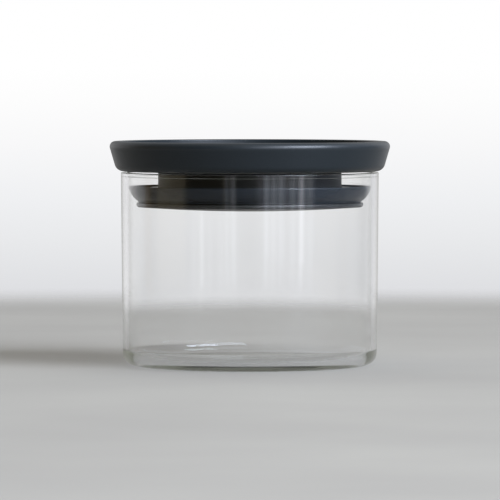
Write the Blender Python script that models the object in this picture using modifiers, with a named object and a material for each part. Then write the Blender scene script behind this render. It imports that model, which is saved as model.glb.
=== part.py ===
"""A stackable glass storage jar with a plug lid.

Metres, +Z up. The jar stands on z = 0 with its axis on Z. The lid, its plug and its seal hang from an empty on that
axis, at the height of the lid's underside, so heights in the lid are counted from the face that rests on the glass.
"""

import math

import bpy
from mathutils import Vector

# The glass jar
JAR_HEIGHT = 0.0690
JAR_RIM_RADIUS = 0.0460
JAR_OUTER_DRAFT = 0.0006
JAR_INNER_DRAFT = 0.0003
JAR_WALL = 0.0024
JAR_FLOOR = 0.0025
JAR_RIM_INNER_ROUNDING = 0.0004
JAR_RIM_OUTER_ROUNDING = 0.0003
JAR_HEEL_ROUNDING = 0.0048
JAR_INNER_HEEL_ROUNDING = 0.0036
JAR_STANDING_RING = 0.0088
JAR_PUNT_SLOPE = 0.0020
JAR_PUNT_RISE = 0.0004

# The lid, a dish whose recess takes the foot of the next jar
LID_HEIGHT = 0.0107
LID_OVERHANG = 0.00155
LID_FLARE = 0.00315
LID_CROWN_ROUNDING = 0.0019
LID_LOWER_ROUNDING = 0.0032
LID_FLOOR = 0.0023
STACKING_CLEARANCE = 0.0008
RECESS_DRAFT = 0.0003
RECESS_EDGE_ROUNDING = 0.0006
RECESS_CORNER_ROUNDING = 0.0020

# The spigot under the lid, which the plug snaps onto
SPIGOT_LENGTH = 0.0050
SPIGOT_WALL = 0.0018
SPIGOT_END_ROUNDING = 0.0005
SNAP_DEPTH = 0.0027
SNAP_BEAD_RADIUS = 0.0007

# The plug, a hollow stem on a wide foot
FOOT_SIDE_GAP = 0.00315
FOOT_OVERHANG = 0.0077
FOOT_DEPTH = 0.0111
FOOT_EDGE = 0.0015
FOOT_PLATE = 0.0020
FOOT_BOW = 0.0015
FOOT_TOP_ROUNDING = 0.0003
FOOT_LOWER_ROUNDING = 0.0009
STEM_WALL = 0.0021
STEM_END_ROUNDING = 0.0003
PLUG_LOWER_WALL = 0.0019
PLUG_CORNER_ROUNDING = 0.0010
SEAT_GROOVE_DEPTH = 0.0012
SEAT_GROOVE_HEIGHT = 0.0034

# The seal, a soft ring in the plug's groove with a lip that wipes the glass
LIP_DEPTH = 0.0052
LIP_THICKNESS = 0.0013
LIP_ROUNDING = 0.0004
FACE_BULGE = 0.0006
SEAL_STEP_BACK = 0.00045
SEAL_EDGE_ROUNDING = 0.0003
COLLAR_DROP = 0.0004
COLLAR_WIDTH = 0.0026
CHANNEL_DEPTH = 0.0028
CHANNEL_SLOPE = 0.0007
CHANNEL_ROUNDING = 0.0006

# The air left between pieces that touch on the real jar
CLEARANCE = 0.0003

# How finely round shapes are cut
TURN_STEPS = 56
ARC_STEP = math.radians(30)
BOW_STEPS = 5
FACE_STEPS = 5
MERGE_DISTANCE = 0.00001
FILLET_ROOM_SHARE = 0.98
HALF_TURN = math.radians(180)

# Places that more than one piece uses, the lid's own heights counted from its underside
JAR_BORE_RADIUS = JAR_RIM_RADIUS - JAR_WALL
JAR_BASE_RADIUS = JAR_RIM_RADIUS - JAR_OUTER_DRAFT
LID_SEAT_HEIGHT = JAR_HEIGHT + CLEARANCE
FOOT_RADIUS = JAR_BORE_RADIUS - FOOT_SIDE_GAP
STEM_RADIUS = FOOT_RADIUS - FOOT_OVERHANG
STEM_BORE = STEM_RADIUS - STEM_WALL
SPIGOT_RADIUS = STEM_BORE - CLEARANCE
GROOVE_RADIUS = STEM_RADIUS - SEAT_GROOVE_DEPTH
GROOVE_TOP = SEAT_GROOVE_HEIGHT - FOOT_DEPTH


def clear_scene():
    for obj in list(bpy.data.objects):
        bpy.data.objects.remove(obj, do_unlink=True)


def finish(name, color, roughness, transmission=0.0, ior=1.5):
    """A material with one plain surface shader."""
    material = bpy.data.materials.new(name)
    material.use_nodes = True
    material.diffuse_color = (*color, 1.0)
    shader = material.node_tree.nodes["Principled BSDF"]
    shader.inputs["Base Color"].default_value = (*color, 1.0)
    shader.inputs["Roughness"].default_value = roughness
    shader.inputs["Metallic"].default_value = 0.0
    shader.inputs["Transmission Weight"].default_value = transmission
    shader.inputs["IOR"].default_value = ior
    return material


def arc(centre, start, sweep):
    """Points round a centre, from the offset start through the signed angle sweep."""
    steps = max(2, round(abs(sweep) / ARC_STEP))
    angle = math.atan2(start.y, start.x)
    turns = [angle + sweep * step / steps for step in range(steps + 1)]
    return [centre + start.length * Vector((math.cos(turn), math.sin(turn))) for turn in turns]


def reach_of(corners, index):
    """How far along its sides the arc at a corner starts and ends."""
    radius, height, rounding = corners[index]
    if rounding == 0:
        return 0.0
    here = Vector((radius, height))
    back = Vector(corners[index - 1][:2]) - here
    ahead = Vector(corners[(index + 1) % len(corners)][:2]) - here
    return rounding / math.tan(back.angle(ahead) / 2)


def rounded(corners, closed):
    """The outline through corners of (radius, height, rounding), with an arc of that rounding at each.

    Where the two arcs on one side don't fit in it, both become smaller, so they never cross.
    """
    reaches = [reach_of(corners, index) for index in range(len(corners))]
    places = [Vector(corner[:2]) for corner in corners]
    fits = []
    for index, place in enumerate(places):
        following = (index + 1) % len(places)
        room = FILLET_ROOM_SHARE * (places[following] - place).length
        fits.append(min(1.0, room / max(reaches[index] + reaches[following], room)))
    points = []
    for index, here in enumerate(places):
        is_end = not closed and index in (0, len(corners) - 1)
        if is_end or reaches[index] == 0:
            points.append(here)
            continue
        back = (places[index - 1] - here).normalized()
        ahead = (places[(index + 1) % len(places)] - here).normalized()
        half_angle = back.angle(ahead) / 2
        reach = reaches[index] * min(fits[index - 1], fits[index])
        centre = here + (back + ahead).normalized() * reach / math.cos(half_angle)
        start = here + back * reach - centre
        side = 1 if back.x * ahead.y < back.y * ahead.x else -1
        points += arc(centre, start, side * (HALF_TURN - 2 * half_angle))
    return points


def turned(name, outline, closed, material, collection, parent=None):
    """A turned piece: the outline as edges on the XZ plane, swept round Z."""
    edges = [(index, index + 1) for index in range(len(outline) - 1)]
    if closed:
        edges.append((len(outline) - 1, 0))
    mesh = bpy.data.meshes.new(name)
    mesh.from_pydata([(point.x, 0, point.y) for point in outline], edges, [])
    mesh.materials.append(material)
    obj = bpy.data.objects.new(name, mesh)
    collection.objects.link(obj)
    obj.parent = parent
    screw = obj.modifiers.new("Turn", "SCREW")
    screw.axis = "Z"
    screw.steps = screw.render_steps = TURN_STEPS
    screw.use_merge_vertices = True
    screw.merge_threshold = MERGE_DISTANCE
    screw.use_smooth_shade = True
    return obj


def jar_bore_radius(height):
    """The radius of the jar's bore, which narrows a little from the rim to the floor."""
    return JAR_BORE_RADIUS - JAR_INNER_DRAFT * (JAR_HEIGHT - height) / (JAR_HEIGHT - JAR_FLOOR)


def glass_jar(collection):
    """The jar is clear glass: a flat rim with soft edges, a round heel, and a shallow punt in its standing ring."""
    punt_radius = JAR_BASE_RADIUS - JAR_HEEL_ROUNDING - JAR_STANDING_RING
    outline = rounded(
        [
            (0, JAR_FLOOR, 0),
            (jar_bore_radius(JAR_FLOOR), JAR_FLOOR, JAR_INNER_HEEL_ROUNDING),
            (JAR_BORE_RADIUS, JAR_HEIGHT, JAR_RIM_INNER_ROUNDING),
            (JAR_RIM_RADIUS, JAR_HEIGHT, JAR_RIM_OUTER_ROUNDING),
            (JAR_BASE_RADIUS, 0, JAR_HEEL_ROUNDING),
            (punt_radius, 0, 0),
            (punt_radius - JAR_PUNT_SLOPE, JAR_PUNT_RISE, 0),
            (0, JAR_PUNT_RISE, 0),
        ],
        closed=False,
    )
    glass = finish("clear glass", (0.93, 0.95, 0.94), 0.02, transmission=1.0, ior=1.47)
    turned("glass_jar", outline, False, glass, collection)


def snap_round(bead_radius, inset):
    """Corners of the snap's round, from its top down, as far as it stands out of a wall that covers its inset."""
    half_height = math.sqrt(bead_radius**2 - inset**2)
    half_sweep = math.atan2(half_height, inset)
    points = arc(Vector((SPIGOT_RADIUS, -SNAP_DEPTH)), Vector((inset, half_height)), -2 * half_sweep)
    return [(point.x, point.y, 0) for point in points]


def lid_cap(collection, parent):
    """The lid is one moulding: a flared dish with a recess for the next jar above, and a snap spigot below."""
    lower_radius = JAR_RIM_RADIUS + LID_OVERHANG
    recess_floor_radius = JAR_BASE_RADIUS + STACKING_CLEARANCE
    spigot_bore = SPIGOT_RADIUS - SPIGOT_WALL
    outline = rounded(
        [
            (0, LID_FLOOR, 0),
            (recess_floor_radius, LID_FLOOR, RECESS_CORNER_ROUNDING),
            (recess_floor_radius + RECESS_DRAFT, LID_HEIGHT, RECESS_EDGE_ROUNDING),
            (lower_radius + LID_FLARE, LID_HEIGHT, LID_CROWN_ROUNDING),
            (lower_radius, 0, LID_LOWER_ROUNDING),
            (SPIGOT_RADIUS, 0, 0),
            *snap_round(SNAP_BEAD_RADIUS, 0),
            (SPIGOT_RADIUS, -SPIGOT_LENGTH, SPIGOT_END_ROUNDING),
            (spigot_bore, -SPIGOT_LENGTH, SPIGOT_END_ROUNDING),
            (spigot_bore, 0, 0),
            (0, 0, 0),
        ],
        closed=False,
    )
    plastic = finish("charcoal polypropylene", (0.012, 0.015, 0.017), 0.38)
    turned("lid_cap", outline, False, plastic, collection, parent)


def plug_core(collection, parent):
    """The plug is a second moulding: a stem that snaps over the spigot, on a foot closed by a bowed plate."""
    lower_bore = GROOVE_RADIUS - PLUG_LOWER_WALL
    shoulder = -SPIGOT_LENGTH - CLEARANCE
    foot_bottom = -FOOT_DEPTH - FOOT_EDGE
    plate_radius = FOOT_RADIUS - FOOT_LOWER_ROUNDING

    def plate_bottom(radius):
        return foot_bottom - FOOT_BOW * (1 - (radius / plate_radius) ** 2)

    shares = [step / BOW_STEPS for step in range(BOW_STEPS)]
    inside = [(share * lower_bore, plate_bottom(share * lower_bore) + FOOT_PLATE, 0) for share in shares]
    underside = [(share * plate_radius, plate_bottom(share * plate_radius), 0) for share in shares]
    outline = rounded(
        [
            *inside,
            (lower_bore, plate_bottom(lower_bore) + FOOT_PLATE, PLUG_CORNER_ROUNDING),
            (lower_bore, shoulder, 0),
            (STEM_BORE, shoulder, 0),
            *reversed(snap_round(SNAP_BEAD_RADIUS + CLEARANCE, STEM_BORE - SPIGOT_RADIUS)),
            (STEM_BORE, -CLEARANCE, STEM_END_ROUNDING),
            (STEM_RADIUS, -CLEARANCE, STEM_END_ROUNDING),
            (STEM_RADIUS, GROOVE_TOP, 0),
            (GROOVE_RADIUS, GROOVE_TOP, 0),
            (GROOVE_RADIUS, -FOOT_DEPTH, 0),
            (FOOT_RADIUS, -FOOT_DEPTH, FOOT_TOP_ROUNDING),
            (FOOT_RADIUS, foot_bottom, FOOT_LOWER_ROUNDING),
            *reversed(underside),
        ],
        closed=False,
    )
    plastic = finish("charcoal polypropylene, plug", (0.010, 0.011, 0.010), 0.48)
    turned("plug_core", outline, False, plastic, collection, parent)


def seal_face(start, end):
    """Corners down the seal's outer face, which bows outwards between its lip and its foot."""
    along = end - start
    out = Vector((-along.y, along.x)).normalized()
    shares = [step / FACE_STEPS for step in range(FACE_STEPS + 1)]
    points = [start + along * share + out * FACE_BULGE * (1 - (2 * share - 1) ** 2) for share in shares]
    return [(point.x, point.y, 0) for point in points]


def seal_ring(collection, parent):
    """The seal is soft silicone: a bead in the plug's groove, a collar round the stem, and a bowed lip outside."""
    lip_top = -LIP_DEPTH
    lip_radius = jar_bore_radius(LID_SEAT_HEIGHT + lip_top) - CLEARANCE
    lip_bore = lip_radius - LIP_THICKNESS
    foot_radius = FOOT_RADIUS - SEAL_STEP_BACK
    foot_height = -FOOT_DEPTH + CLEARANCE
    bead_bore = GROOVE_RADIUS + CLEARANCE
    bead_top = GROOVE_TOP - CLEARANCE
    collar_bore = STEM_RADIUS + CLEARANCE
    collar_radius = collar_bore + COLLAR_WIDTH
    collar_top = lip_top - COLLAR_DROP
    channel_floor = collar_top - CHANNEL_DEPTH
    face_start = Vector((lip_radius, lip_top - LIP_ROUNDING))
    face_end = Vector((foot_radius, foot_height + SEAL_EDGE_ROUNDING))
    outline = rounded(
        [
            (lip_radius, lip_top, LIP_ROUNDING),
            *seal_face(face_start, face_end),
            (foot_radius, foot_height, SEAL_EDGE_ROUNDING),
            (bead_bore, foot_height, SEAL_EDGE_ROUNDING),
            (bead_bore, bead_top, 0),
            (collar_bore, bead_top, 0),
            (collar_bore, collar_top, SEAL_EDGE_ROUNDING),
            (collar_radius, collar_top, SEAL_EDGE_ROUNDING),
            (collar_radius + CHANNEL_SLOPE, channel_floor, CHANNEL_ROUNDING),
            (lip_bore - 2 * CHANNEL_SLOPE, channel_floor, CHANNEL_ROUNDING),
            (lip_bore, lip_top, LIP_ROUNDING),
        ],
        closed=True,
    )
    silicone = finish("charcoal silicone", (0.014, 0.018, 0.019), 0.30)
    turned("seal_ring", outline, True, silicone, collection, parent)


def main():
    clear_scene()
    collection = bpy.data.collections.new("stackable_glass_jar")
    bpy.context.scene.collection.children.link(collection)
    lid_axis = bpy.data.objects.new("lid_axis", None)
    lid_axis.location = (0, 0, LID_SEAT_HEIGHT)
    collection.objects.link(lid_axis)
    glass_jar(collection)
    lid_cap(collection, lid_axis)
    plug_core(collection, lid_axis)
    seal_ring(collection, lid_axis)


main()
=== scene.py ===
"""A stackable glass storage jar with a charcoal plug lid, on a pale grey table.

Metres, +Z up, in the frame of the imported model. After the camera, the room, the table and the daylight, the
file follows the jar as it is put together: the glass, the lid, the plug under it, and the seal on the plug.
"""

import math

import bpy
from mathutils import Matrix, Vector


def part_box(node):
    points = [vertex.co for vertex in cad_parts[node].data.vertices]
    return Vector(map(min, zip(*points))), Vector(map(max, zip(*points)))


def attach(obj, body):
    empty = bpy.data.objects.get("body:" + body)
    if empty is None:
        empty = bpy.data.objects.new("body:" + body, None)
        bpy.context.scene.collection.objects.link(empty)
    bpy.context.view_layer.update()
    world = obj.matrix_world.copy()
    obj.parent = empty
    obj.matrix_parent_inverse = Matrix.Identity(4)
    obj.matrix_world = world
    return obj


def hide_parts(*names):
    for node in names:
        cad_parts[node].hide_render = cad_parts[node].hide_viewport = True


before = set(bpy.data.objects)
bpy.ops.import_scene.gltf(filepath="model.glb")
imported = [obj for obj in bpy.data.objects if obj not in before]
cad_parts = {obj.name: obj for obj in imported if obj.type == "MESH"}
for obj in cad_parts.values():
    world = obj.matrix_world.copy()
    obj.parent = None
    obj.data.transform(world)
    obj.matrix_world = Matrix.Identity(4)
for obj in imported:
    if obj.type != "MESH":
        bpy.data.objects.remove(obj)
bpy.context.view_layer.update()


# The camera
# A long lens a good step away from the table, a little above the lid and tipped down by about two degrees.
# The lid shows as a thin ellipse, and the table's far edge lies behind the lower third of the glass.

lens_to_jar = 1.770
lens_height = 0.106
lens_tilt = math.radians(2.10)
lens_turn = math.radians(-0.002)
focal_length_mm = 357.0

camera = bpy.data.objects.new("camera", bpy.data.cameras.new("camera"))
camera.location = (0, -lens_to_jar, lens_height)
camera.rotation_euler = (math.radians(90) - lens_tilt, 0, lens_turn)
camera.data.lens = focal_length_mm
camera.data.sensor_width = 36.0
camera.data.clip_start = 0.05
camera.data.clip_end = 50.0
bpy.context.scene.collection.objects.link(camera)
bpy.context.scene.camera = camera
bpy.context.scene.view_settings.view_transform = "Standard"


# The room
# A pale wall behind the table that brightens upwards, seen directly and through the glass. The rest of the
# room mirrors in the glass and the lid: windows at the front right, dim at the front left, pale behind.

def from_hex(code):
    """An sRGB hex colour as the linear values that shaders take."""
    parts = [int(code[place : place + 2], 16) / 255 for place in (1, 3, 5)]
    return [*(part / 12.92 if part <= 0.04045 else ((part + 0.055) / 1.055) ** 2.4 for part in parts), 1.0]


def add_node(owner, kind, settings, inputs):
    """One node with its settings. An input is a plain value, or a socket to link from."""
    node = owner.node_tree.nodes.new(kind)
    for name, value in settings.items():
        setattr(node, name, value)
    for name, value in inputs.items():
        if isinstance(value, bpy.types.NodeSocket):
            owner.node_tree.links.new(value, node.inputs[name])
        else:
            node.inputs[name].default_value = value
    return node


def fill_ramp(ramp, stops):
    """Sets a colour ramp's stops, as (position, colour)."""
    for index, (position, color) in enumerate(stops):
        element = ramp.elements[index] if index < 2 else ramp.elements.new(position)
        element.position = position
        element.color = color


world = bpy.data.worlds.new("room")
bpy.context.scene.world = world
world.use_nodes = True
world.node_tree.nodes.clear()

# How far below the horizon the wall's shading begins, as the downward slope of a line of sight
wall_foot_slope = 0.05
# The room's level low down and up under the ceiling, as a share, and the slopes between which it changes
wall_level = 0.80
upper_level = 0.60
level_changes_from = 0.08
level_changes_to = 0.60
# The pale ceiling: the way to its brightest part, and how nearly a line of sight has to point there
overhead_level = 0.80
way_overhead = (0.45, 0.0, 0.89)
overhead_from = 0.40
overhead_full_at = 0.90
wall_shades = [
    (0.10, from_hex("#DEDFE2")),
    (0.30, from_hex("#E8E9EB")),
    (0.47, from_hex("#EFF0F2")),
    (0.70, from_hex("#F8F8F9")),
    (0.88, from_hex("#FDFDFD")),
    (1.00, from_hex("#FFFFFF")),
]
# Behind the jar, the left side with a wooden cupboard, the dim front left with a gap between its curtains,
# the tall window at the front right between its bars, and the right side. Each has a shade and a strength.
strongest = 4.0
room_shades = [
    (0.022, "#F0F0EE", 0.70),
    (0.055, "#F8F8FA", 1.12),
    (0.150, "#F0F0F2", 1.02),
    (0.188, "#E0E0E0", 0.85),
    (0.209, "#C8A46C", 0.50),
    (0.229, "#FFF0CC", 0.08),
    (0.252, "#FFF0CC", 0.46),
    (0.325, "#FFF0CC", 0.42),
    (0.338, "#FFF0CC", 0.05),
    (0.430, "#FFF0CC", 0.08),
    (0.442, "#F4F8FF", 0.60),
    (0.448, "#FFFEF8", 0.20),
    (0.459, "#F4F8FF", 0.85),
    (0.468, "#FFFEF8", 0.08),
    (0.510, "#FFFEF8", 0.12),
    (0.533, "#EEF3FF", 0.60),
    (0.541, "#EEF3FF", 1.80),
    (0.551, "#EEF3FF", 0.95),
    (0.561, "#EEF3FF", 1.55),
    (0.569, "#EEF3FF", 0.95),
    (0.578, "#EEF3FF", 1.70),
    (0.594, "#EEF3FF", 0.62),
    (0.610, "#EEF3FF", 1.45),
    (0.622, "#EEF3FF", 0.70),
    (0.633, "#F4F6FF", 3.60),
    (0.642, "#EEF3FF", 0.75),
    (0.657, "#EEF3FF", 1.35),
    (0.672, "#DCE8FF", 0.40),
    (0.850, "#E6ECF8", 0.30),
    (0.875, "#F0F2F6", 0.92),
    (0.945, "#F8F8FA", 1.05),
    (0.985, "#F0F0EE", 0.70),
]
sight = add_node(world, "ShaderNodeTexCoord", {}, {})
sight_parts = add_node(world, "ShaderNodeSeparateXYZ", {}, {0: sight.outputs["Generated"]})
rise = add_node(
    world,
    "ShaderNodeMapRange",
    {},
    {"Value": sight_parts.outputs["Z"], "From Min": -wall_foot_slope, "From Max": 0.0},
)
wall = add_node(world, "ShaderNodeValToRGB", {}, {"Fac": rise.outputs[0]})
fill_ramp(wall.color_ramp, wall_shades)

# The bearing of a line of sight, from 0 behind the jar, by the left, the front at a half and the right, to 1
away = add_node(world, "ShaderNodeMath", {"operation": "MULTIPLY"}, {0: sight_parts.outputs["Y"], 1: -1.0})
turn = add_node(
    world,
    "ShaderNodeMath",
    {"operation": "ARCTAN2"},
    {0: sight_parts.outputs["X"], 1: away.outputs[0]},
)
bearing = add_node(
    world,
    "ShaderNodeMapRange",
    {},
    {"Value": turn.outputs[0], "From Min": -math.pi, "From Max": math.pi},
)
room = add_node(world, "ShaderNodeValToRGB", {}, {"Fac": bearing.outputs[0]})
fill_ramp(
    room.color_ramp,
    [(position, [*from_hex(shade)[:3], strength / strongest]) for position, shade, strength in room_shades],
)

# The walls are dimmer up under the ceiling, which is palest towards the windows
ceiling = add_node(
    world,
    "ShaderNodeMapRange",
    {},
    {
        "Value": sight_parts.outputs["Z"],
        "From Min": level_changes_from,
        "From Max": level_changes_to,
        "To Min": wall_level * strongest,
        "To Max": upper_level * strongest,
    },
)

nearness_to_overhead = add_node(
    world,
    "ShaderNodeVectorMath",
    {"operation": "DOT_PRODUCT"},
    {0: sight.outputs["Generated"], 1: way_overhead},
)
overhead = add_node(
    world,
    "ShaderNodeMapRange",
    {},
    {
        "Value": nearness_to_overhead.outputs["Value"],
        "From Min": overhead_from,
        "From Max": overhead_full_at,
        "To Min": 0.0,
        "To Max": overhead_level,
    },
)
room_strength = add_node(
    world,
    "ShaderNodeMath",
    {"operation": "MULTIPLY_ADD"},
    {0: room.outputs["Alpha"], 1: ceiling.outputs[0], 2: overhead.outputs[0]},
)

# A line of sight that has only gone through glass shows the wall. One that has also mirrored shows the room.
path = add_node(world, "ShaderNodeLightPath", {}, {})
has_not_mirrored = add_node(
    world,
    "ShaderNodeMath",
    {"operation": "LESS_THAN"},
    {0: path.outputs["Glossy Depth"], 1: 0.5},
)
straight_through = add_node(
    world,
    "ShaderNodeMath",
    {"operation": "MULTIPLY"},
    {0: path.outputs["Is Transmission Ray"], 1: has_not_mirrored.outputs[0]},
)
seen_or_through = add_node(
    world,
    "ShaderNodeMath",
    {"operation": "MAXIMUM"},
    {0: path.outputs["Is Camera Ray"], 1: straight_through.outputs[0]},
)
seen = add_node(world, "ShaderNodeBackground", {}, {"Color": wall.outputs["Color"], "Strength": 1.0})
lit = add_node(
    world,
    "ShaderNodeBackground",
    {},
    {"Color": room.outputs["Color"], "Strength": room_strength.outputs[0]},
)
both = add_node(
    world,
    "ShaderNodeMixShader",
    {},
    {0: seen_or_through.outputs[0], 1: lit.outputs[0], 2: seen.outputs[0]},
)
add_node(world, "ShaderNodeOutputWorld", {}, {"Surface": both.outputs[0]})


# The table
# A smooth sealed cement top, matt and pale grey, faintly clouded. About half a metre behind the jar it fades
# into the wall, as a far edge does in a long lens.

table_solid_to = 0.52
table_gone_at = 0.74
table_centre_forward = 0.10
table_below_glass = 0.0002
table_corners = 120
cloud_size_mm = 160.0
cement_gloss = 0.03
cement_gloss_roughness = 0.42

table_mesh = bpy.data.meshes.new("table_top")
table = bpy.data.objects.new("table_top", table_mesh)
bpy.context.scene.collection.objects.link(table)
table_angles = [math.radians(-360 * corner / table_corners) for corner in range(table_corners)]
table_mesh.from_pydata(
    [(table_gone_at * math.sin(angle), table_gone_at * math.cos(angle), 0) for angle in table_angles],
    [],
    [list(range(table_corners))],
)
table.location = (0, -table_centre_forward, -table_below_glass)

cement = bpy.data.materials.new("sealed cement")
cement.use_nodes = True
cement.node_tree.nodes.clear()
place = add_node(cement, "ShaderNodeTexCoord", {}, {})
clouds = add_node(
    cement,
    "ShaderNodeTexNoise",
    {},
    {"Vector": place.outputs["Object"], "Scale": 1000 / cloud_size_mm, "Detail": 3.0, "Roughness": 0.5},
)
greys = add_node(cement, "ShaderNodeValToRGB", {}, {"Fac": clouds.outputs["Fac"]})
fill_ramp(greys.color_ramp, [(0.30, from_hex("#938F87")), (0.70, from_hex("#9B978E"))])
cement_body = add_node(cement, "ShaderNodeBsdfDiffuse", {}, {"Color": greys.outputs["Color"]})
cement_seal = add_node(
    cement,
    "ShaderNodeBsdfGlossy",
    {},
    {"Color": from_hex("#FFFFFF"), "Roughness": cement_gloss_roughness},
)
cement_top = add_node(
    cement,
    "ShaderNodeMixShader",
    {},
    {0: cement_gloss, 1: cement_body.outputs[0], 2: cement_seal.outputs[0]},
)
distance = add_node(cement, "ShaderNodeVectorMath", {"operation": "LENGTH"}, {0: place.outputs["Object"]})
fade = add_node(
    cement,
    "ShaderNodeMapRange",
    {"interpolation_type": "SMOOTHSTEP"},
    {"Value": distance.outputs["Value"], "From Min": table_solid_to, "From Max": table_gone_at},
)
nothing = add_node(cement, "ShaderNodeBsdfTransparent", {}, {})
cement_end = add_node(
    cement,
    "ShaderNodeMixShader",
    {},
    {0: fade.outputs[0], 1: cement_top.outputs[0], 2: nothing.outputs[0]},
)
add_node(cement, "ShaderNodeOutputMaterial", {}, {"Surface": cement_end.outputs[0]})
table_mesh.materials.append(cement)


# The daylight
# A broad row of windows at the front right, from just above the table's level up, which leaves only a faint
# shadow. The clearest pane draws the soft streak along the lid's crown and lights the right of the lid.

window_distance = 4.0
daylight_color = from_hex("#E2ECFF")[:3]
daylight = [
    # name, bearing and elevation in degrees, width and height in metres, power in watts
    ("window_row", 26, 20, 2.90, 2.20, 86.0),
    ("clear_pane", 52, 32, 2.20, 2.20, 320.0),
]

for name, bearing_angle, elevation_angle, width, height, watts in daylight:
    across = math.cos(math.radians(elevation_angle))
    to_window = Vector(
        (
            math.sin(math.radians(bearing_angle)) * across,
            -math.cos(math.radians(bearing_angle)) * across,
            math.sin(math.radians(elevation_angle)),
        )
    )
    light = bpy.data.lights.new(name, "AREA")
    light.shape = "RECTANGLE"
    light.size = width
    light.size_y = height
    light.energy = watts
    light.color = daylight_color
    lamp = bpy.data.objects.new(name, light)
    lamp.location = to_window * window_distance
    lamp.rotation_mode = "QUATERNION"
    lamp.rotation_quaternion = to_window.to_track_quat("Z", "Y")
    lamp.visible_camera = False
    bpy.context.scene.collection.objects.link(lamp)


# The glass jar
# Clear borosilicate glass, blown in a turned mould: a flat polished rim, straight walls with a little draft
# and a round heel. It is bright and colourless, and the walls keep a very slight waviness from the blowing.

glass_low, glass_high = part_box("glass_jar")
glass_height = glass_high[2]
# Polishing takes the rim down a little, which leaves a hair of light under the lid
glass_rim_drop = 0.0001
glass_rim_radius = glass_high[0]
glass_wall = 0.0024
glass_floor = 0.0025
glass_outer_draft = 0.0006
glass_inner_draft = 0.0003
glass_heel = 0.0048
glass_inner_heel = 0.0036
glass_standing_ring = 0.0088
glass_punt_rise = 0.0004
glass_punt_slope = 0.0020
glass_punt_rounding = 0.0020
glass_rim_inner_rounding = 0.0004
glass_rim_outer_rounding = 0.0003
# Inside, the polish ends in a faint line just below the rim
glass_mouth_depth = 0.0016
glass_mouth_step = 0.00012
glass_mouth_edge = 0.00004
glass_turn_steps = 288
glass_arc_step = 4.0
turning_merge_distance = 0.00001
# The waves are drawn out along the height of the wall
wave_size_mm = 22.0
wave_height = 0.000008
wave_shape = (1.0, 1.0, 0.35)
turns_in_the_wall = 4.5
glass_density = 13.0


def rounded(corners, closed, arc_step=6.0):
    """An outline through corners of (radius, height, rounding), with arcs in steps of arc_step degrees."""
    places = [Vector(corner[:2]) for corner in corners]
    outline = []
    for index, here in enumerate(places):
        rounding = corners[index][2]
        if rounding == 0 or (not closed and index in (0, len(places) - 1)):
            outline.append(here)
            continue
        back = (places[index - 1] - here).normalized()
        ahead = (places[(index + 1) % len(places)] - here).normalized()
        half_angle = back.angle(ahead) / 2
        centre = here + (back + ahead).normalized() * rounding / math.sin(half_angle)
        first = here + back * rounding / math.tan(half_angle) - centre
        side = 1 if back.x * ahead.y < back.y * ahead.x else -1
        sweep = side * (math.pi - 2 * half_angle)
        steps = max(2, round(math.degrees(abs(sweep)) / arc_step))
        angle = math.atan2(first.y, first.x)
        for step in range(steps + 1):
            turned_by = angle + sweep * step / steps
            outline.append(centre + rounding * Vector((math.cos(turned_by), math.sin(turned_by))))
    return outline


def turned(name, outline, closed, steps):
    """A piece turned from an outline of (radius, height), shaded smooth with its flat runs kept flat."""
    edges = [(index, index + 1) for index in range(len(outline) - 1)]
    if closed:
        edges.append((len(outline) - 1, 0))
    mesh = bpy.data.meshes.new(name)
    mesh.from_pydata([(point.x, 0, point.y) for point in outline], edges, [])
    piece = bpy.data.objects.new(name, mesh)
    bpy.context.scene.collection.objects.link(piece)
    screw = piece.modifiers.new("Turn", "SCREW")
    screw.axis = "Z"
    screw.steps = screw.render_steps = steps
    screw.use_merge_vertices = True
    screw.merge_threshold = turning_merge_distance
    screw.use_smooth_shade = True
    normals = piece.modifiers.new("Flats", "WEIGHTED_NORMAL")
    normals.mode = "FACE_AREA"
    normals.weight = 100
    return piece


glass_foot_radius = glass_rim_radius - glass_outer_draft
glass_bore_at_rim = glass_rim_radius - glass_wall
glass_bore_at_floor = glass_bore_at_rim - glass_inner_draft
punt_radius = glass_foot_radius - glass_heel - glass_standing_ring
jar = turned(
    "clear_glass_jar",
    rounded(
        [
            (0, glass_floor, 0),
            (glass_bore_at_floor, glass_floor, glass_inner_heel),
            (glass_bore_at_rim - glass_mouth_step, glass_height - glass_mouth_depth, glass_mouth_edge),
            (glass_bore_at_rim, glass_height - glass_mouth_depth + glass_mouth_step, glass_mouth_edge),
            (glass_bore_at_rim, glass_height - glass_rim_drop, glass_rim_inner_rounding),
            (glass_rim_radius, glass_height - glass_rim_drop, glass_rim_outer_rounding),
            (glass_foot_radius, 0, glass_heel),
            (punt_radius, 0, glass_punt_rounding),
            (punt_radius - glass_punt_slope, glass_punt_rise, glass_punt_rounding),
            (0, glass_punt_rise, 0),
        ],
        closed=False,
        arc_step=glass_arc_step,
    ),
    False,
    glass_turn_steps,
)

borosilicate = bpy.data.materials.new("blown borosilicate glass")
borosilicate.use_nodes = True
borosilicate.node_tree.nodes.clear()
place = add_node(borosilicate, "ShaderNodeTexCoord", {}, {})
drawn = add_node(
    borosilicate,
    "ShaderNodeMapping",
    {},
    {"Vector": place.outputs["Object"], "Scale": wave_shape},
)
waves = add_node(
    borosilicate,
    "ShaderNodeTexNoise",
    {},
    {"Vector": drawn.outputs[0], "Scale": 1000 / wave_size_mm, "Detail": 1.0, "Roughness": 0.4},
)
waviness = add_node(
    borosilicate,
    "ShaderNodeBump",
    {},
    {"Height": waves.outputs["Fac"], "Strength": 1.0, "Distance": wave_height},
)
clear = add_node(
    borosilicate,
    "ShaderNodeBsdfPrincipled",
    {},
    {
        "Base Color": from_hex("#FEFEFE"),
        "Roughness": 0.0,
        "IOR": 1.47,
        "Transmission Weight": 1.0,
        "Normal": waviness.outputs[0],
    },
)
lets_light_by = add_node(borosilicate, "ShaderNodeBsdfTransparent", {}, {"Color": from_hex("#FAFAFA")})
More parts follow.
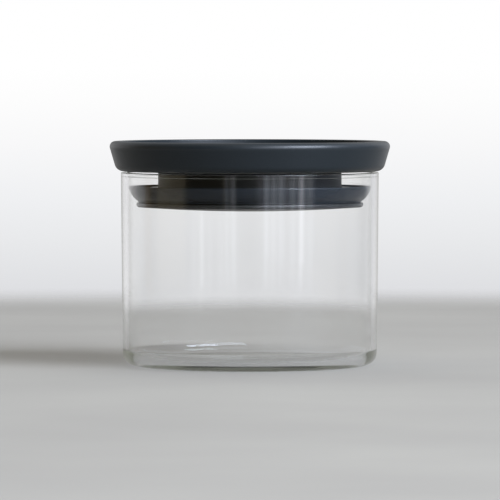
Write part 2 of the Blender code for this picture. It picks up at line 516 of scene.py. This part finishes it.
path = add_node(borosilicate, "ShaderNodeLightPath", {}, {})
light_or_bounce = add_node(
    borosilicate,
    "ShaderNodeMath",
    {"operation": "MAXIMUM"},
    {0: path.outputs["Is Shadow Ray"], 1: path.outputs["Is Diffuse Ray"]},
)
# Light that has turned often gets out of the glass, a little dimmed, so that the rim and heel aren't black
caught = add_node(
    borosilicate,
    "ShaderNodeMath",
    {"operation": "GREATER_THAN"},
    {0: path.outputs["Ray Depth"], 1: turns_in_the_wall},
)
gets_out = add_node(borosilicate, "ShaderNodeBsdfTransparent", {}, {"Color": from_hex("#D2D3CE")})
clear_or_caught = add_node(
    borosilicate,
    "ShaderNodeMixShader",
    {},
    {0: caught.outputs[0], 1: clear.outputs[0], 2: gets_out.outputs[0]},
)
glass_surface = add_node(
    borosilicate,
    "ShaderNodeMixShader",
    {},
    {0: light_or_bounce.outputs[0], 1: clear_or_caught.outputs[0], 2: lets_light_by.outputs[0]},
)
# Along the wall's edges and round the heel the glass is seen through its length, where it is slightly grey
depth_of_glass = add_node(
    borosilicate,
    "ShaderNodeVolumeAbsorption",
    {},
    {"Color": from_hex("#C6CAC5"), "Density": glass_density},
)
add_node(
    borosilicate,
    "ShaderNodeOutputMaterial",
    {},
    {"Surface": glass_surface.outputs[0], "Volume": depth_of_glass.outputs[0]},
)
jar.data.materials.append(borosilicate)
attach(jar, "jar")
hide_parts("glass_jar")


# The lid
# One polypropylene moulding: a dish with a flared side and a round crown, a recess on top for the foot of
# the next jar, and a short spigot below that the plug snaps onto. The mould is spark-eroded, which gives a
# fine matt grain.

lid_gap = 0.0003
lid_height = 0.0107
lid_overhang = 0.00155
lid_flare = 0.00311
lid_crown = 0.0019
lid_lower_rounding = 0.0032
lid_floor = 0.0023
recess_clearance = 0.0008
recess_draft = 0.0003
recess_edge = 0.0006
recess_corner = 0.0020
spigot_radius = 0.03035
spigot_wall = 0.0018
spigot_length = 0.0050
spigot_edge = 0.0005
spigot_root = 0.0004
snap_depth = 0.0027
snap_height = 0.0007
snap_rounding = 0.0004
# What the mouldings' unseen corners are eased by
eased_corner = 0.0002
moulding_turn_steps = 256
# The real grain is about 0.1 mm wide, too fine to show from the camera, so it is drawn coarser
grain_size_mm = 0.35
grain_height = 0.000005
handling_size_mm = 26.0
handling_range = 0.04
lid_roughness = 0.36
lid_shine = 0.22
# The floor of the recess, and the width over which it gives way to the smoother corner
coarse_roughness = 0.58
coarse_edge = 0.001
# The shoulder of the crown, in heights above the lid's underside
crown_worn_from = 0.0076
crown_worn_to = 0.0103
crown_sheen = 0.25
crown_sheen_roughness = 0.40

lid_underside = glass_height + lid_gap
lid_lower_radius = glass_rim_radius + lid_overhang
lid_upper_radius = lid_lower_radius + lid_flare
recess_radius = glass_foot_radius + recess_clearance
lid = turned(
    "charcoal_lid",
    [
        point + Vector((0, lid_underside))
        for point in rounded(
            [
                (0, lid_floor, 0),
                (recess_radius, lid_floor, recess_corner),
                (recess_radius + recess_draft, lid_height, recess_edge),
                (lid_upper_radius, lid_height, lid_crown),
                (lid_lower_radius, 0, lid_lower_rounding),
                (spigot_radius, 0, eased_corner),
                (spigot_radius, -snap_depth + snap_height, eased_corner),
                (spigot_radius + snap_height, -snap_depth, snap_rounding),
                (spigot_radius, -snap_depth - snap_height, eased_corner),
                (spigot_radius, -spigot_length, spigot_edge),
                (spigot_radius - spigot_wall, -spigot_length, spigot_edge),
                (spigot_radius - spigot_wall, 0, spigot_root),
                (0, 0, 0),
            ],
            closed=False,
        )
    ],
    False,
    moulding_turn_steps,
)


def moulded(name, dark, light, roughness, shine, grain_mm, grain_depth):
    """A matt moulded surface with a fine even grain, slightly smoother in patches from being handled."""
    material = bpy.data.materials.new(name)
    material.use_nodes = True
    material.node_tree.nodes.clear()
    place = add_node(material, "ShaderNodeTexCoord", {}, {})
    grain = add_node(
        material,
        "ShaderNodeTexNoise",
        {},
        {"Vector": place.outputs["Object"], "Scale": 1000 / grain_mm, "Detail": 2.0, "Roughness": 0.6},
    )
    handling = add_node(
        material,
        "ShaderNodeTexNoise",
        {},
        {
            "Vector": place.outputs["Object"],
            "Scale": 1000 / handling_size_mm,
            "Detail": 3.0,
            "Roughness": 0.55,
        },
    )
    polish = add_node(
        material,
        "ShaderNodeMapRange",
        {},
        {
            "Value": handling.outputs["Fac"],
            "From Min": 0.3,
            "From Max": 0.7,
            "To Min": roughness - handling_range,
            "To Max": roughness + handling_range,
        },
    )
    tone = add_node(material, "ShaderNodeValToRGB", {}, {"Fac": grain.outputs["Fac"]})
    fill_ramp(tone.color_ramp, [(0.3, from_hex(dark)), (0.7, from_hex(light))])
    relief = add_node(
        material,
        "ShaderNodeBump",
        {},
        {"Height": grain.outputs["Fac"], "Strength": 1.0, "Distance": grain_depth},
    )
    surface = add_node(
        material,
        "ShaderNodeBsdfPrincipled",
        {},
        {
            "Base Color": tone.outputs["Color"],
            "Roughness": polish.outputs[0],
            "IOR": 1.49,
            "Specular IOR Level": shine,
            "Normal": relief.outputs[0],
        },
    )
    add_node(material, "ShaderNodeOutputMaterial", {}, {"Surface": surface.outputs[0]})
    return material, surface


def coarse_within(material, surface, radius, roughness):
    """Leaves the piece rougher inside a radius, where no hand or cloth has smoothed it."""
    place = add_node(material, "ShaderNodeTexCoord", {}, {})
    across = add_node(
        material,
        "ShaderNodeVectorMath",
        {"operation": "MULTIPLY"},
        {0: place.outputs["Object"], 1: (1.0, 1.0, 0.0)},
    )
    out = add_node(material, "ShaderNodeVectorMath", {"operation": "LENGTH"}, {0: across.outputs[0]})
    coarse = add_node(
        material,
        "ShaderNodeMapRange",
        {},
        {
            "Value": out.outputs["Value"],
            "From Min": radius - coarse_edge,
            "From Max": radius,
            "To Min": roughness,
            "To Max": 0.0,
        },
    )
    polish = surface.inputs["Roughness"].links[0].from_socket
    rougher = add_node(
        material,
        "ShaderNodeMath",
        {"operation": "MAXIMUM"},
        {0: polish, 1: coarse.outputs[0]},
    )
    material.node_tree.links.new(rougher.outputs[0], surface.inputs["Roughness"])


def worn_between(material, surface, low, high, sheen, roughness):
    """A band between two heights that wear has made smoother, as a thin sheen that fades at both ends."""
    place = add_node(material, "ShaderNodeTexCoord", {}, {})
    parts = add_node(material, "ShaderNodeSeparateXYZ", {}, {0: place.outputs["Object"]})
    share = add_node(
        material,
        "ShaderNodeMapRange",
        {},
        {"Value": parts.outputs["Z"], "From Min": low, "From Max": high},
    )
    band = add_node(material, "ShaderNodeValToRGB", {}, {"Fac": share.outputs[0]})
    worn = [sheen, sheen, sheen, 1.0]
    unworn = [0.0, 0.0, 0.0, 1.0]
    fill_ramp(band.color_ramp, [(0.02, unworn), (0.45, worn), (0.80, worn), (0.98, unworn)])
    material.node_tree.links.new(band.outputs["Color"], surface.inputs["Coat Weight"])
    surface.inputs["Coat Roughness"].default_value = roughness


lid_plastic, lid_surface = moulded(
    "spark-eroded polypropylene",
    "#171C1F",
    "#1C2124",
    lid_roughness,
    lid_shine,
    grain_size_mm,
    grain_height,
)
# The floor of the recess keeps the mould's full coarse grain
coarse_within(lid_plastic, lid_surface, recess_radius - recess_corner, coarse_roughness)
# Hands have polished the shoulder of the crown, which takes a soft sheen there
worn_between(
    lid_plastic,
    lid_surface,
    lid_underside + crown_worn_from,
    lid_underside + crown_worn_to,
    crown_sheen,
    crown_sheen_roughness,
)
lid.data.materials.append(lid_plastic)
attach(lid, "lid")
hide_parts("lid_cap")


# The plug
# A second polypropylene moulding, pushed up over the spigot until it snaps: a straight stem, and a wider
# foot plate bowed downwards. It is handled less than the lid and is duller, but for the foot's edge.

plug_stem_radius = 0.03275
plug_stem_wall = 0.0021
plug_stem_edge = 0.0003
plug_shoulder = 0.0053
plug_foot_radius = 0.04045
plug_foot_top = 0.0111
plug_foot_edge = 0.0015
plug_foot_bow = 0.0015
plug_plate = 0.0020
plug_plate_steps = 24
plug_foot_rounding = 0.0009
groove_radius = 0.03155
groove_height = 0.0034
plug_lower_wall = 0.0019
plug_gap = 0.0003
plug_floor_corner = 0.0005
plug_foot_lower_rounding = 0.0008
plug_roughness = 0.48
plug_shine = 0.13
# How far the worn edge of the foot reaches below and above the foot's top
foot_worn_below = 0.003
foot_worn_above = 0.001
foot_sheen = 0.85
foot_sheen_roughness = 0.25

bow_radius = plug_foot_radius - plug_foot_rounding
plug_bore = plug_stem_radius - plug_stem_wall
lower_bore = groove_radius - plug_lower_wall


def plate_bottom(radius):
    """The height of the foot plate's underside, which is bowed like a shallow dish."""
    return -plug_foot_top - plug_foot_edge - plug_foot_bow * (1 - (radius / bow_radius) ** 2)


plate_shares = [step / plug_plate_steps for step in range(plug_plate_steps)]
plug = turned(
    "charcoal_plug",
    [
        point + Vector((0, lid_underside))
        for point in rounded(
            [
                *[
                    (share * lower_bore, plate_bottom(share * lower_bore) + plug_plate, 0)
                    for share in plate_shares
                ],
                (lower_bore, plate_bottom(lower_bore) + plug_plate, plug_floor_corner),
                (lower_bore, -plug_shoulder, eased_corner),
                (plug_bore, -plug_shoulder, eased_corner),
                (plug_bore, -snap_depth - snap_height - plug_gap, eased_corner),
                (plug_bore + snap_height, -snap_depth, snap_rounding),
                (plug_bore, -snap_depth + snap_height + plug_gap, eased_corner),
                (plug_bore, -plug_gap, plug_stem_edge),
                (plug_stem_radius, -plug_gap, plug_stem_edge),
                (plug_stem_radius, -plug_foot_top + groove_height, eased_corner),
                (groove_radius, -plug_foot_top + groove_height, eased_corner),
                (groove_radius, -plug_foot_top, eased_corner),
                (plug_foot_radius, -plug_foot_top, plug_stem_edge),
                (plug_foot_radius, plate_bottom(bow_radius), plug_foot_lower_rounding),
                *[
                    (share * bow_radius, plate_bottom(share * bow_radius), 0)
                    for share in reversed(plate_shares)
                ],
            ],
            closed=False,
        )
    ],
    False,
    moulding_turn_steps,
)
plug_plastic, plug_surface = moulded(
    "moulded polypropylene",
    "#171817",
    "#1C1D1C",
    plug_roughness,
    plug_shine,
    grain_size_mm,
    grain_height,
)
# The foot's edge rubs on the mouth of the jar and is smoother for it
worn_between(
    plug_plastic,
    plug_surface,
    lid_underside - plug_foot_top - foot_worn_below,
    lid_underside - plug_foot_top + foot_worn_above,
    foot_sheen,
    foot_sheen_roughness,
)
plug.data.materials.append(plug_plastic)
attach(plug, "lid")
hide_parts("plug_core")


# The seal
# A ring of charcoal silicone, moulded in one piece and stretched into the groove above the plug's foot. Its
# thin lip bows outwards and up to the glass. Silicone is smooth but soft-looking, with a faint bloom.

lip_gap = 0.0003
lip_top = 0.0052
lip_thickness = 0.0013
lip_rounding = 0.0001
seal_foot_inset = 0.00045
seal_bulge = 0.0006
seal_face_steps = 24
seal_edge = 0.0003
collar_thickness = 0.0026
collar_drop = 0.0004
channel_depth = 0.0028
channel_slope = 0.0007
channel_rounding = 0.0006
# The bloom is finer and lower than the grain of the plastics
bloom_size_mm = 0.12
bloom_height = 0.000001
seal_roughness = 0.22
seal_shine = 0.27

lip_radius = glass_bore_at_rim - lip_gap
seal_foot_radius = plug_foot_radius - seal_foot_inset
seal_foot = plug_foot_top - plug_gap
bead_bore = groove_radius + plug_gap
bead_top = plug_foot_top - groove_height + plug_gap
collar_bore = plug_stem_radius + plug_gap
collar_radius = collar_bore + collar_thickness
collar_top = lip_top + collar_drop
channel_floor = collar_top + channel_depth

face_start = Vector((lip_radius, -lip_top - lip_rounding))
face_end = Vector((seal_foot_radius, -seal_foot + seal_edge))
face_out = Vector((face_start.y - face_end.y, face_end.x - face_start.x)).normalized()
face_shares = [step / seal_face_steps for step in range(seal_face_steps + 1)]
face_points = [
    face_start.lerp(face_end, share) + face_out * seal_bulge * (1 - (2 * share - 1) ** 2)
    for share in face_shares
]
seal = turned(
    "silicone_seal",
    [
        point + Vector((0, lid_underside))
        for point in rounded(
            [
                (lip_radius, -lip_top, lip_rounding),
                *[(point.x, point.y, 0) for point in face_points],
                (seal_foot_radius, -seal_foot, seal_edge),
                (bead_bore, -seal_foot, seal_edge),
                (bead_bore, -bead_top, eased_corner),
                (collar_bore, -bead_top, eased_corner),
                (collar_bore, -collar_top, seal_edge),
                (collar_radius, -collar_top, seal_edge),
                (collar_radius + channel_slope, -channel_floor, channel_rounding),
                (lip_radius - lip_thickness - 2 * channel_slope, -channel_floor, channel_rounding),
                (lip_radius - lip_thickness, -lip_top, lip_rounding),
            ],
            closed=True,
        )
    ],
    True,
    moulding_turn_steps,
)
silicone, _ = moulded(
    "moulded silicone",
    "#14191F",
    "#192026",
    seal_roughness,
    seal_shine,
    bloom_size_mm,
    bloom_height,
)
seal.data.materials.append(silicone)
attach(seal, "lid")
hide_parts("seal_ring")
